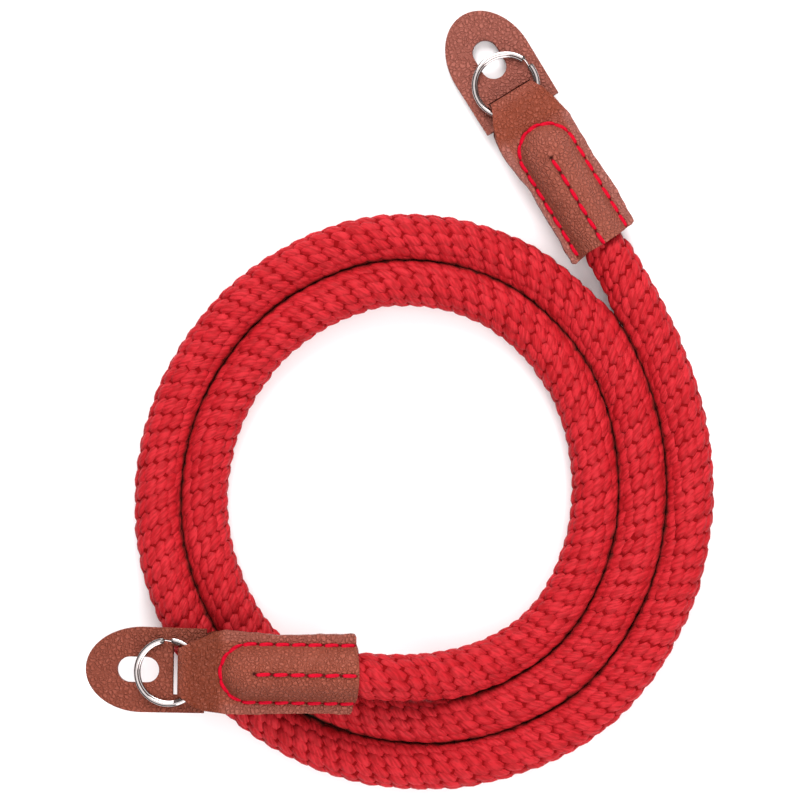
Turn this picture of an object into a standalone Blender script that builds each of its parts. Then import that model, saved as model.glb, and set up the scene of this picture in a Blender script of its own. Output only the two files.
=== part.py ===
"""A camera strap of braided rope, laid down in a flat coil.

Each end of the rope is sewn into a folded leather sleeve. The fold of the sleeve holds a split
ring and passes through the slot of a round leather guard. One end lies on the floor and the
other on the coil. Metres, +Z up, the floor at z = 0.
"""
import math

import bmesh
import bpy
from mathutils import Vector

# Rope
ROPE_DIAMETER = 0.0106
ROPE_SEWN_DIAMETER = 0.0094
ROPE_SEWN_LENGTH = 0.0237
ROPE_BEVEL_STEPS = 4

# Leather and clearances
LEATHER = 0.0015
LAYER_GAP = 0.0002
FIT_GAP = 0.0003

# Sleeve: the folded strip that holds the rope's end
SLEEVE_LENGTH = 0.0310
SLEEVE_WIDTH = 0.0180
SEAM_SPACING = 0.0133
NECK_LENGTH = 0.0100
NECK_FLARE_LENGTH = 0.0080
FOLD_WIDTH = 0.0106
FOLD_RADIUS = 0.0013
FOLD_LIFT = 0.0006

# Guard: the round leather plate between the ring and the camera
GUARD_LENGTH = 0.0274
GUARD_WIDTH = 0.0197
GUARD_CUT_WIDTH = 0.0194
GUARD_NOSE_LENGTH = 0.0132
GUARD_BRIDGE = 0.0042
SLOT_SHOWING = 0.0008
HOLE_LENGTH = 0.0098
HOLE_WIDTH = 0.0059
HOLE_FROM_TIP = 0.0074

# Split ring: two turns of flat wire with one step between them
RING_DIAMETER = 0.0159
RING_WIRE_WIDTH = 0.0013
RING_WIRE_HEIGHT = 0.00075
RING_TURN_GAP = 0.0001
RING_STEP_ANGLE = math.radians(30)
RING_END_ANGLE = math.radians(35)

# Places on the floor
COIL_CENTRE = (0.0148, -0.0329)
LOWER_MOUTH = (-0.0012, -0.0726)
LOWER_HEADING = math.radians(-0.9)
UPPER_MOUTH = (0.0560, 0.0271)
UPPER_HEADING = math.radians(-58.7)

# The coil's route about its centre, chosen by hand: angle in degrees, radius of the rope's axis,
# lift of the rope off the floor. It leaves the lower sleeve high, comes down beside the next turn
# and runs anticlockwise to the upper sleeve.
COIL_ROUTE = [
    (256, 0.0416, 0.0115),
    (268, 0.0407, 0.0080),
    (280, 0.0404, 0.0049),
    (295, 0.0404, 0.0017),
    (310, 0.0405, 0.0000),
    (340, 0.0393, 0.0000),
    (370, 0.0400, 0.0000),
    (400, 0.0435, 0.0000),
    (430, 0.0482, 0.0000),
    (460, 0.0512, 0.0000),
    (490, 0.0516, 0.0000),
    (520, 0.0514, 0.0000),
    (550, 0.0514, 0.0000),
    (580, 0.0516, 0.0000),
    (610, 0.0513, 0.0000),
    (640, 0.0513, 0.0000),
    (670, 0.0514, 0.0000),
    (700, 0.0505, 0.0000),
    (730, 0.0511, 0.0000),
    (760, 0.0552, 0.0000),
    (790, 0.0593, 0.0000),
    (820, 0.0619, 0.0000),
    (850, 0.0623, 0.0000),
    (880, 0.0622, 0.0000),
    (910, 0.0626, 0.0000),
    (940, 0.0630, 0.0000),
    (970, 0.0624, 0.0000),
    (1000, 0.0622, 0.0000),
    (1030, 0.0627, 0.0000),
    (1060, 0.0617, 0.0000),
    (1090, 0.0624, 0.0002),
    (1113, 0.0651, 0.0006),
]
ROUTE_STEPS = 2

# Heights and distances that follow from the sizes above, in a sleeve's own frame. Its origin is
# at the mouth on the surface that it lies on, with +X along the rope as it leaves.
SLEEVE_AXIS_HEIGHT = ROPE_SEWN_DIAMETER / 2 + FIT_GAP + LEATHER
LAYER_OFFSET = (LEATHER + LAYER_GAP) / 2
TUNNEL_RADIUS = ROPE_SEWN_DIAMETER / 2 + FIT_GAP + LEATHER / 2
SEAM_HALF = SEAM_SPACING / 2
FOLD_X = -(SLEEVE_LENGTH + NECK_LENGTH)
FOLD_INNER_X = FOLD_X + LEATHER
SLOT_END_X = FOLD_INNER_X + FIT_GAP
GUARD_CUT_X = SLOT_END_X + GUARD_BRIDGE
GUARD_TIP_X = GUARD_CUT_X - GUARD_LENGTH
LOWER_LAYER_Z = FOLD_LIFT + LEATHER / 2
GUARD_SEAT_Z = FOLD_LIFT + LEATHER + FIT_GAP
GUARD_TILT = math.atan2(GUARD_SEAT_Z, SLOT_END_X - GUARD_TIP_X)
RING_RADIUS = RING_DIAMETER / 2
RING_INNER_RADIUS = RING_RADIUS - RING_WIRE_WIDTH
RING_HEIGHT = 2 * RING_WIRE_HEIGHT + RING_TURN_GAP
RING_CENTRE_X = FOLD_INNER_X + 2 * FIT_GAP - math.sqrt(RING_INNER_RADIUS**2 - FOLD_WIDTH**2 / 4)
RING_BASE = LEATHER + FIT_GAP
RING_FAR_FROM_TIP = RING_CENTRE_X + RING_RADIUS - GUARD_TIP_X
RING_TOP_Z = (RING_BASE + RING_HEIGHT + RING_FAR_FROM_TIP * math.sin(GUARD_TILT)) / math.cos(GUARD_TILT)
UPPER_LAYER_Z = RING_TOP_Z + FIT_GAP + LEATHER / 2
COIL_TOP = ROPE_DIAMETER + FIT_GAP

# Columns across a leather strip, as shares of its half width, closest where the tunnel curves
STRIP_COLUMNS = (0.0, 0.19, 0.36, 0.49, 0.60, 0.74, 1.0)
# Rows along the sewn sleeve from its mouth, as shares of its length, closest at the round end
SLEEVE_ROWS = (0.0, 0.2, 0.4, 0.6, 0.72, 0.80, 0.86, 0.91, 0.955, 1.0)
NECK_ROWS = 5
FOLD_ROWS = 3
NOSE_STEPS = 10
HOLE_STEPS = 8
RING_STEPS = 46

LEATHER_COLOUR = (0.30, 0.085, 0.050, 1.0)
ROPE_COLOUR = (0.62, 0.012, 0.020, 1.0)
NICKEL_COLOUR = (0.72, 0.72, 0.70, 1.0)
LEATHER_ROUGHNESS = 0.55
ROPE_ROUGHNESS = 0.6
NICKEL_ROUGHNESS = 0.2


def material(name, colour, roughness, metallic=0.0):
    """One plain finish, named after the object that carries it."""
    made = bpy.data.materials.new(name)
    made.use_nodes = True
    shader = made.node_tree.nodes["Principled BSDF"]
    shader.inputs["Base Color"].default_value = colour
    shader.inputs["Roughness"].default_value = roughness
    shader.inputs["Metallic"].default_value = metallic
    return made


def add_object(name, data, parent=None):
    """An object of the given mesh, curve or empty, linked to the scene."""
    made = bpy.data.objects.new(name, data)
    bpy.context.scene.collection.objects.link(made)
    made.parent = parent
    return made


def mesh_from(name, vertices, faces):
    mesh = bpy.data.meshes.new(name)
    mesh.from_pydata(vertices, [], faces)
    mesh.validate()
    return mesh


def smooth_step(share):
    share = min(max(share, 0.0), 1.0)
    return share * share * (3.0 - 2.0 * share)


def blend(start, end, share):
    return start + (end - start) * share


# Sleeve


def strip_half_width(x):
    """Half the strip's width at x: full along the sleeve, narrower towards the fold."""
    flare = (x - FOLD_X - LEATHER / 2) / NECK_FLARE_LENGTH
    return blend(FOLD_WIDTH, SLEEVE_WIDTH, min(max(flare, 0.0), 1.0)) / 2


def tunnel_rise(x, y):
    """Height of a layer's middle above the sleeve's axis: round over the rope, straight down to
    the seam, and closed by a round end inside the sewn curve."""
    reach = math.hypot(min(0.0, x + SLEEVE_LENGTH - SEAM_HALF), y)
    touch = TUNNEL_RADIUS**2 / SEAM_HALF
    if reach <= touch:
        rise = math.sqrt(TUNNEL_RADIUS**2 - reach**2)
    else:
        slope = math.sqrt(TUNNEL_RADIUS**2 - touch**2) / (SEAM_HALF - touch)
        rise = slope * (SEAM_HALF - reach)
    return max(rise, LAYER_OFFSET)


def sleeve_rows():
    """Middle lines across the strip, from the upper mouth round the fold to the lower mouth."""
    halves = [*(-share for share in reversed(STRIP_COLUMNS[1:])), *STRIP_COLUMNS]
    corner_x = FOLD_X + LEATHER / 2 + FOLD_RADIUS
    loop_x = GUARD_CUT_X + FIT_GAP

    def row(x, height):
        width = strip_half_width(x)
        return [Vector((x, share * width, height(x, share * width))) for share in halves]

    def layer(side, level):
        lines = []
        for share in SLEEVE_ROWS:
            x = -share * SLEEVE_LENGTH
            lines.append(row(x, lambda x, y: SLEEVE_AXIS_HEIGHT + side * tunnel_rise(x, y)))
        seam_level = SLEEVE_AXIS_HEIGHT + side * LAYER_OFFSET
        for index in range(1, NECK_ROWS + 1):
            x = blend(-SLEEVE_LENGTH, corner_x, index / NECK_ROWS)
            share = smooth_step((-SLEEVE_LENGTH - x) / (-SLEEVE_LENGTH - loop_x))
            z = blend(seam_level, level, share)
            lines.append(row(x, lambda x, y, z=z: z))
        return lines

    def corner(level, start, side):
        lines = []
        for index in range(FOLD_ROWS + 1):
            angle = start + math.pi / 2 * index / FOLD_ROWS
            x = corner_x + FOLD_RADIUS * math.cos(angle)
            z = level - side * FOLD_RADIUS + FOLD_RADIUS * math.sin(angle)
            lines.append(row(x, lambda x, y, z=z: z))
        return lines

    upper = layer(1, UPPER_LAYER_Z)
    lower = layer(-1, LOWER_LAYER_Z)
    round_top = corner(UPPER_LAYER_Z, math.pi / 2, 1)
    round_base = corner(LOWER_LAYER_Z, math.pi, -1)
    return upper + round_top[1:] + round_base[:-1] + lower[::-1]


def make_sleeve(name, parent):
    rows = sleeve_rows()
    across = len(rows[0])
    vertices = [point for line in rows for point in line]
    faces = [
        (r * across + c, r * across + c + 1, (r + 1) * across + c + 1, (r + 1) * across + c)
        for r in range(len(rows) - 1)
        for c in range(across - 1)
    ]
    sleeve = add_object(name, mesh_from(name, vertices, faces), parent)
    wall = sleeve.modifiers.new("leather_wall", "SOLIDIFY")
    wall.thickness = LEATHER
    wall.offset = 0.0
    wall.use_even_offset = True
    sleeve.data.materials.append(material(name, LEATHER_COLOUR, LEATHER_ROUGHNESS))
    sleeve.data.shade_smooth()
    return sleeve


# Guard


def guard_outline():
    """The plate's outline from its round tip at the origin to the straight cut at +X."""
    side = []
    for index in range(1, NOSE_STEPS + 1):
        angle = math.pi / 2 * index / NOSE_STEPS
        x = GUARD_NOSE_LENGTH * (1.0 - math.cos(angle))
        side.append((x, GUARD_WIDTH / 2 * math.sin(angle)))
    side.append((GUARD_LENGTH, GUARD_CUT_WIDTH / 2))
    return [(0.0, 0.0), *side, *((x, -y) for x, y in reversed(side))]


def round_ended(start_x, end_x, width, steps):
    """A long hole with round ends between start_x and end_x, as an outline."""
    radius = width / 2
    points = []
    for centre, first in ((end_x - radius, -math.pi / 2), (start_x + radius, math.pi / 2)):
        for index in range(steps + 1):
            angle = first + math.pi * index / steps
            points.append((centre + radius * math.cos(angle), radius * math.sin(angle)))
    return points


def plate(name, outline, base, top, parent):
    """A flat plate of the given outline between two heights, as a closed body."""
    solid = bmesh.new()
    face = solid.faces.new([solid.verts.new((x, y, base)) for x, y in outline])
    raised = bmesh.ops.extrude_face_region(solid, geom=[face])["geom"]
    moved = [item for item in raised if isinstance(item, bmesh.types.BMVert)]
    bmesh.ops.translate(solid, verts=moved, vec=(0.0, 0.0, top - base))
    bmesh.ops.recalc_face_normals(solid, faces=solid.faces)
    mesh = bpy.data.meshes.new(name)
    solid.to_mesh(mesh)
    solid.free()
    return add_object(name, mesh, parent)


def make_guard(name, parent):
    guard = plate(name, guard_outline(), 0.0, LEATHER, parent)
    guard.location = (GUARD_TIP_X, 0.0, 0.0)
    guard.rotation_euler = (0.0, -GUARD_TILT, 0.0)
    guard.data.materials.append(material(name, LEATHER_COLOUR, LEATHER_ROUGHNESS))

    lean = LEATHER * math.tan(GUARD_TILT)
    slot_start = FOLD_X - SLOT_SHOWING - GUARD_TIP_X
    slot_end = SLOT_END_X + lean - GUARD_TIP_X
    slot_half = FOLD_WIDTH / 2 + FIT_GAP
    slot = [
        (slot_start, -slot_half),
        (slot_end, -slot_half),
        (slot_end, slot_half),
        (slot_start, slot_half),
    ]
    hole = round_ended(HOLE_FROM_TIP, HOLE_FROM_TIP + HOLE_LENGTH, HOLE_WIDTH, HOLE_STEPS)
    for cut_name, outline in (("slot", slot), ("hole", hole)):
        cutter = plate(f"{name}_{cut_name}_cutter", outline, -LEATHER, 2 * LEATHER, guard)
        cutter.hide_render = True
        cutter.display_type = "WIRE"
        cut = guard.modifiers.new(cut_name, "BOOLEAN")
        cut.operation = "DIFFERENCE"
        cut.object = cutter
    return guard


# Split ring


def wire_section():
    """The wire's section as (out from the middle, up): a flat bar with its corners taken off."""
    half, up = RING_WIRE_WIDTH / 2, RING_WIRE_HEIGHT / 2
    chamfer = RING_WIRE_HEIGHT / 4
    return [
        (half, -up + chamfer),
        (half, up - chamfer),
        (half - chamfer, up),
        (-half + chamfer, up),
        (-half, up - chamfer),
        (-half, -up + chamfer),
        (-half + chamfer, -up),
        (half - chamfer, -up),
    ]


def make_split_ring(name, parent):
    """Flat wire that runs one turn low, steps up, and runs on above itself to the step."""
    lower_run = 2 * math.pi - RING_STEP_ANGLE
    total = 2 * lower_run + RING_STEP_ANGLE
    rise = RING_WIRE_HEIGHT + RING_TURN_GAP
    middle = (RING_RADIUS + RING_INNER_RADIUS) / 2
    section = wire_section()
    vertices = []
    for index in range(RING_STEPS + 1):
        run = total * index / RING_STEPS
        lift = RING_WIRE_HEIGHT / 2 + rise * smooth_step((run - lower_run) / RING_STEP_ANGLE)
        angle = RING_END_ANGLE + run
        for out, up in section:
            reach = middle + out
            vertices.append((reach * math.cos(angle), reach * math.sin(angle), lift + up))
    sides = len(section)
    faces = [tuple(reversed(range(sides))), tuple(RING_STEPS * sides + side for side in range(sides))]
    for index in range(RING_STEPS):
        for side in range(sides):
            here, following = index * sides + side, index * sides + (side + 1) % sides
            faces.append((following, here, here + sides, following + sides))
    solid = mesh_from(name, vertices, faces)
    shape = bmesh.new()
    shape.from_mesh(solid)
    bmesh.ops.recalc_face_normals(shape, faces=shape.faces)
    shape.to_mesh(solid)
    shape.free()
    ring = add_object(name, solid, parent)
    guard_rise = (RING_CENTRE_X - GUARD_TIP_X) * math.tan(GUARD_TILT)
    ring.location = (RING_CENTRE_X, 0.0, guard_rise + RING_BASE / math.cos(GUARD_TILT))
    ring.rotation_euler = (0.0, -GUARD_TILT, 0.0)
    ring.data.materials.append(material(name, NICKEL_COLOUR, NICKEL_ROUGHNESS, 1.0))
    ring.data.shade_smooth()
    return ring


# Rope


def sewn_points(mouth, heading, base):
    """The rope's straight stretch inside a sleeve, from its cut end to just past the mouth."""
    along = Vector((math.cos(heading), math.sin(heading), 0.0))
    start = Vector((*mouth, base + SLEEVE_AXIS_HEIGHT))
    return [start + along * reach for reach in (-ROPE_SEWN_LENGTH, -ROPE_SEWN_LENGTH / 2, 0.0)]


def coil_points():
    points = []
    for angle, radius, lift in COIL_ROUTE:
        turn = math.radians(angle)
        x = COIL_CENTRE[0] + radius * math.cos(turn)
        y = COIL_CENTRE[1] + radius * math.sin(turn)
        points.append(Vector((x, y, ROPE_DIAMETER / 2 + lift)))
    return points


def smooth_curve(points, steps):
    """Points read from a smooth curve through the given ones, spaced by the chords' lengths."""
    first = points[0] * 2 - points[1]
    last = points[-1] * 2 - points[-2]
    padded = [first, *points, last]
    read = []
    for before, start, end, after in zip(padded, padded[1:], padded[2:], padded[3:]):
        back, here, ahead = (start - before).length, (end - start).length, (after - end).length
        leave = ((start - before) / back - (end - before) / (back + here)) * here + (end - start)
        arrive = ((after - end) / ahead - (after - start) / (here + ahead)) * here + (end - start)
        for index in range(steps):
            t = index / steps
            point = (2 * t**3 - 3 * t**2 + 1) * start + (t**3 - 2 * t**2 + t) * leave
            point += (3 * t**2 - 2 * t**3) * end + (t**3 - t**2) * arrive
            point.z = max(point.z, ROPE_DIAMETER / 2)
            read.append(point)
    read.append(points[-1])
    return read


def make_rope(name):
    lower = sewn_points(LOWER_MOUTH, LOWER_HEADING, COIL_TOP)
    upper = sewn_points(UPPER_MOUTH, UPPER_HEADING, 0.0)
    points = smooth_curve(lower + coil_points() + upper[::-1], ROUTE_STEPS)
    curve = bpy.data.curves.new(name, "CURVE")
    curve.dimensions = "3D"
    curve.bevel_depth = ROPE_DIAMETER / 2
    curve.bevel_resolution = ROPE_BEVEL_STEPS
    curve.use_fill_caps = True
    spline = curve.splines.new("POLY")
    spline.points.add(len(points) - 1)
    sewn = (len(lower) - 1) * ROUTE_STEPS
    for index, (target, point) in enumerate(zip(spline.points, points)):
        target.co = (*point, 1.0)
        inside = index <= sewn or index >= len(points) - 1 - sewn
        target.radius = ROPE_SEWN_DIAMETER / ROPE_DIAMETER if inside else 1.0
    rope = add_object(name, curve)
    rope.data.materials.append(material(name, ROPE_COLOUR, ROPE_ROUGHNESS))
    return rope


def make_end(place, mouth, heading, base):
    """A sleeve with its guard and split ring, on an empty at the sleeve's mouth."""
    frame = add_object(f"end_{place}", None)
    frame.location = (*mouth, base)
    frame.rotation_euler = (0.0, 0.0, heading)
    make_sleeve(f"sleeve_{place}", frame)
    make_guard(f"guard_{place}", frame)
    make_split_ring(f"split_ring_{place}", frame)


def main():
    for old in list(bpy.data.objects):
        bpy.data.objects.remove(old)
    make_rope("rope")
    make_end("lower", LOWER_MOUTH, LOWER_HEADING, COIL_TOP)
    make_end("upper", UPPER_MOUTH, UPPER_HEADING, 0.0)


main()
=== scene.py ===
"""Looks of a coiled rope camera strap: braided rope, sewn leather ends, guards and split rings."""
import math

import bpy
import numpy as np
from mathutils import Matrix, Vector, noise


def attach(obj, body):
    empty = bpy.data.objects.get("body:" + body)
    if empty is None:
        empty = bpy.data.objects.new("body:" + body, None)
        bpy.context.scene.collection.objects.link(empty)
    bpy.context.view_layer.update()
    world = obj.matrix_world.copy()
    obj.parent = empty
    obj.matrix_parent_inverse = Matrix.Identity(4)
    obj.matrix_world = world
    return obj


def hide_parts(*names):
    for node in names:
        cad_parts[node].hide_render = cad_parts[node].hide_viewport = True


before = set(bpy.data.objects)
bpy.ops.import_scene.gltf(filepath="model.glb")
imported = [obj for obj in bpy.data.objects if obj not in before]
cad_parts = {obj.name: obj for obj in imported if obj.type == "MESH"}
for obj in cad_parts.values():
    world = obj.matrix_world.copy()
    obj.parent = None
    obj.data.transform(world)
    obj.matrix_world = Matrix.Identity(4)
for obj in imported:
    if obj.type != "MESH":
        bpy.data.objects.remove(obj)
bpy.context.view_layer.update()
rng = np.random.default_rng(7)

# Sizes of the solids, in metres
ROPE_DIAMETER = 0.0106
ROPE_SEWN_DIAMETER = 0.0094
ROPE_SEWN_LENGTH = 0.0237
LEATHER = 0.0015
LAYER_GAP = 0.0002
FIT_GAP = 0.0003
SLEEVE_LENGTH = 0.0310
SEAM_HALF = 0.00665
FOLD_X = -0.0410
FOLD_RADIUS = 0.0013
LOOP_X = -0.0347
LOWER_LAYER_Z = 0.00135
UPPER_LAYER_Z = 0.007306
SLEEVE_AXIS_HEIGHT = 0.0065
GUARD_TIP_X = -0.0624
GUARD_LENGTH = 0.0274
GUARD_HALF_WIDTH = 0.00985
GUARD_CUT_HALF_WIDTH = 0.0097
GUARD_NOSE_LENGTH = 0.0132
GUARD_END = {"lower": (0.0007, 0.0003), "upper": (0.0, 0.0)}
GUARD_TILT = math.radians(5.906)
SLOT_SPAN = {"lower": (0.02045, 0.02336), "upper": (0.0213, 0.02336)}
SLOT_HALF = 0.0056
HOLE_SPAN = (0.0074, 0.0172)
HOLE_HALF = 0.00295
RING_CENTRE = {"lower": (-0.0431, -0.0003), "upper": (-0.04292, 0.0)}
RING_MIDDLE_RADIUS = 0.0073
RING_WIRE_WIDTH = 0.0011
RING_WIRE_HEIGHT = 0.00075
RING_TURN_GAP = 0.0001

# Where each end's sleeve opens, the way its rope leaves, and the height of what it lies on
ENDS = {
    "lower": ((-0.0012, -0.0726), math.radians(-0.9), 0.0109),
    "upper": ((0.0560, 0.0271), math.radians(-58.7), 0.0),
}

# The coil about its centre: angle in degrees, radius of the rope's axis, lift off the floor
COIL_CENTRE = (0.0148, -0.0329)
COIL_ROUTE = [
    (256, 0.0416, 0.0115), (268, 0.0407, 0.0080), (280, 0.0404, 0.0049), (295, 0.0404, 0.0017),
    (310, 0.0405, 0.0), (340, 0.0393, 0.0), (370, 0.0400, 0.0), (400, 0.0435, 0.0),
    (430, 0.0482, 0.0), (460, 0.0512, 0.0), (490, 0.0516, 0.0), (520, 0.0514, 0.0),
    (550, 0.0514, 0.0), (580, 0.0516, 0.0), (610, 0.0513, 0.0), (640, 0.0513, 0.0),
    (670, 0.0514, 0.0), (700, 0.0505, 0.0), (730, 0.0511, 0.0), (760, 0.0552, 0.0),
    (790, 0.0593, 0.0), (820, 0.0619, 0.0), (850, 0.0623, 0.0), (880, 0.0622, 0.0),
    (910, 0.0626, 0.0), (940, 0.0630, 0.0), (970, 0.0624, 0.0), (1000, 0.0622, 0.0),
    (1030, 0.0627, 0.0), (1060, 0.0617, 0.0), (1090, 0.0624, 0.0002), (1113, 0.0651, 0.0006),
]
ROUTE_DIVISIONS = 12
ROUTE_STEP = 0.001
GRIP_FADE = 0.0035

# Braid: columns of strands round the rope, one row after the other along it
BRAID_COLUMNS = 12
BRAID_ROW = 0.00363
BRAID_FIRST_ROW = -8
BRAID_SHIFT = 0.25
BRAID_TWIST = -23.0
ROPE_CORE_RADIUS = 0.00505
UNDERSIDE_GIRTH = 0.955

# A strand: rings of corners from its tail (-1) to its head (1), and angles round each ring
STRAND_STATIONS = np.array([-1.0, -0.86, -0.70, -0.40, 0.0, 0.40, 0.70, 0.86, 1.0])
STRAND_AROUND = np.radians([0, 40, 90, 140, 180, 235, 305])
STRAND_REACH = 0.65
STRAND_OVERRUN = 0.005
STRAND_BEND = 0.14
STRAND_HALF_WIDTH = 0.00142
STRAND_HALF_HEIGHT = 0.00085
STRAND_TOP = 0.00555
STRAND_DIP = 0.0017
STRAND_THINNING = 0.35

# The same for its tail and its head: share of the width lost, and how late it narrows and dips
TAPER = np.array((0.62, 0.66))
TAPER_POWER = np.array((3.4, 2.8))
DIP_POWER = np.array((5.5, 2.9))

# How unevenly strands lie, and how the pattern of yarn is laid on them
UNEVENNESS = {"run": 0.00011, "angle": 0.022, "width": 0.07, "level": 0.00006}
YARN_SLANT = 0.13
YARN_OFFSET = 40

# How turns of the rope press on each other, and how dark the painted shade between them gets
NEXT_TURN_RUN = 0.05
TOUCHING = 0.0128
TOUCHING_FADE = 0.0008
TURN_OVERLAP = 0.0001
FACING_START = 0.65
FACING_FADE = 0.2
SWELL_START = 0.035
SWELL_MOST = 0.15
CRUSHED_WIDENING = 0.28
CRUSHED_LIFTING = 0.9
CREVICE_START = 0.945
CREVICE_FADE = 0.04
CREVICE_DARKNESS = 0.70
NOTCH_REACH = 0.09
WEDGE_RUNS = (0.311, 0.668)
WEDGE_LENGTH = 0.007
WEDGE_REACH = 0.07

# Outline of each leather strip: distance from the mouth, then half its width at that place
STRIP_LEFT = {
    "lower": [
        (-0.0410, 0.0053), (-0.0402, 0.0054), (-0.0391, 0.0062), (-0.0374, 0.00695),
        (-0.0350, 0.00805), (-0.0325, 0.00925), (-0.0300, 0.00965), (-0.0225, 0.00905),
        (-0.0175, 0.00865), (-0.0100, 0.00895), (-0.0041, 0.00915), (0.0, 0.00925),
    ],
    "upper": [
        (-0.0410, 0.0053), (-0.0402, 0.0054), (-0.0385, 0.0068), (-0.0343, 0.0081),
        (-0.0320, 0.0085), (-0.0295, 0.0090), (-0.0272, 0.0090), (-0.0232, 0.0089),
        (-0.0183, 0.0088), (-0.0105, 0.0093), (-0.0050, 0.0091), (0.0, 0.0088),
    ],
}
STRIP_RIGHT = {
    "lower": [
        (-0.0410, 0.0053), (-0.0402, 0.0055), (-0.0389, 0.0067), (-0.0372, 0.00795),
        (-0.0347, 0.00885), (-0.0297, 0.00945), (-0.0263, 0.00955), (-0.0222, 0.00945),
        (-0.0139, 0.00905), (-0.0055, 0.00905), (0.0, 0.0092),
    ],
    "upper": [
        (-0.0410, 0.0053), (-0.0402, 0.0055), (-0.0390, 0.0062), (-0.0364, 0.0076),
        (-0.0338, 0.0085), (-0.0308, 0.0092), (-0.0277, 0.0093), (-0.0240, 0.0088),
        (-0.0185, 0.0080), (-0.0114, 0.0083), (-0.0055, 0.0082), (0.0, 0.0086),
    ],
}

# Finer forms of the sleeves: rounded corners and rims, bulging mouths, puckered and swollen flaps
STRIP_DIVISIONS = (236, 50)
CORNER_ROUNDING = 0.0008
VALLEY_ROUNDING = 0.0006
RIM_ROUNDING = 0.00022
RIM_ANGLE = math.radians(50)
MOUTH_LENGTH = 0.006
MOUTH_BULGE = {"lower": 0.0009, "upper": 0.0005}
MOUTH_CORNER_REACH = {"lower": -0.0007, "upper": 0.0011}
PUCKER_START_X = -0.034
PUCKER_FADE = 0.006
PUCKER_SCALE = (420, 5.0)
EDGE_PUCKER = 0.00022
FLAP_SWELL = 0.00030
SWELL_SCALE = 150
SWELL_EDGE = (0.72, 0.2)

# How far the seams and the needle's holes are pressed in, and how dark the painted shade in them is
SEAM_PRESS = 0.00018
SEAM_PRESS_WIDTH = {"round": 0.0007, "middle": 0.0009}
SEAM_SHADE = 0.06
SEAM_SHADE_WIDTH = 0.0006
NEEDLE_DEPTH = 0.00040
NEEDLE_RADIUS = 0.00030
NEEDLE_OPENING = {"side": 0.75, "bend": 0.25, "centre": 0.85, "last": 2.2}
LAST_HOLE_SHIFT = 0.0002

# How strong each look of the leather is on the two ends, and where it comes in
NECK_FOLDING = {"lower": 1.0, "upper": 0.45}
FLAP_PALENESS = {"lower": 0.35, "upper": 0.65}
DOME_PALENESS = {"lower": 0.10, "upper": 0.22}
GUARD_PALENESS = {"lower": 0.18, "upper": 0.45}
# On the sleeves the darkening is painted shade, on the neck and one flank of the dome; on the
# guards it is an even darker tone
SLEEVE_DARKENING = {"lower": 0.50, "upper": 0.18}
GUARD_DARKENING = {"lower": 0.30, "upper": 0.08}
NECK_PAST_DOME = 0.001
NECK_FADE = {"fold": 0.004, "dome": 0.002}
NECK_DARKNESS = 1.3
FLAP_START_X = -0.033
FLAP_FADE = {"across": 0.0012, "along": 0.004}
FLANK_END = 0.0055
FLANK_FADE = {"start": 0.005, "end": 0.001, "along": 0.006}
PEBBLES = 1050.0

# The seams: a U along the edges and round the rope's end, and a straight one in its middle
THREAD_LINE = 0.0065
SIDE_STITCHES = 7
SIDE_PITCH = 0.00375
BEND_STITCHES = 5
CENTRE_SEAM_Y = {"lower": 0.0001, "upper": -0.0003}
CENTRE_SEAM_SHIFT = {"lower": 0.00065, "upper": 0.00105}
CENTRE_SEAM_LENGTH = 0.0236
CENTRE_STITCHES = 6
CENTRE_PITCH = CENTRE_SEAM_LENGTH / CENTRE_STITCHES
SIDE_SHARE = 0.95

# One stitch, of two plies, and how it is stretched and thickened for each seam
STITCH_LENGTH = 0.0034
STITCH_STATIONS = 20
STITCH_TWIST = math.radians(170)
STITCH_SLIMMING = 0.42
STITCH_SLIM_ENDS = (0.62, 0.38)
STITCH_SUNK_ENDS = (0.72, 0.14)
STITCH_FLATTENING = 0.85
STITCH_SINKING = 0.00026
STITCH_SLANT = 0.00008
STITCH_UNEVENNESS = 0.00004
STITCH_LIFT = 0.00012
ROUND_SEAM_LIFT = 0.00005
STITCH_STRETCH = {"side": 1.0, "bend": 1.15, "centre": 0.96}
STITCH_STOUTNESS = {"side": 1.27, "bend": 1.18, "centre": 0.93}
PLY_SIDES = 14
PLY_RADIUS = 0.00034
PLY_OFFSET = 0.00015

# The guards' outlines: steps round the nose, along each side and round each end of the hole
NOSE_STEPS = 28
SIDE_STEPS = 7
HOLE_STEPS = 16
GUARD_RIM_ROUNDING = 0.00018
GUARD_CUT_SLOPE = 0.6
GUARD_SMOOTH_ANGLE = math.radians(35)

# The rings' wire, and its short step from the lower turn to the upper one
WIRE_SIDES = 20
WIRE_SQUARENESS = 0.92
RING_STATIONS = 360
RING_STEP = math.radians(17)
RING_STEP_TURN = {"lower": math.radians(92), "upper": math.radians(107)}
RING_STEP_SLIMMING = 0.60
RING_SLIM_SPREAD = 0.42
RING_RADIUS_SHIFT = {"low": -0.00018, "high": 0.00014}
RING_CUT_SHADE = math.radians(2.4)
RING_SMOOTH_ANGLE = math.radians(40)
MERGE_DISTANCE = 0.000001

# Colours: linear red, green and blue
LEATHER_TONES = (0.197, 0.0345, 0.0136, 1), (0.301, 0.0668, 0.0360, 1)
# Painted pale sheen, standing in for light reflected off the flaps, domes and guards
LEATHER_PAINTED_SHEEN = (0.302, 0.116, 0.099, 1)
# Darker colour: painted shade on the sleeves' necks and flanks, and a darker tone on the guards
LEATHER_DARK_TONE_AND_SHADE = (0.110, 0.018, 0.006, 1)
# Painted shade in the creases of the grain
LEATHER_CREASE_SHADE = (0.085, 0.015, 0.007, 1)
# Painted highlights on the tops of the pebbles
LEATHER_PAINTED_GLINT = (0.420, 0.155, 0.118, 1)
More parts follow.
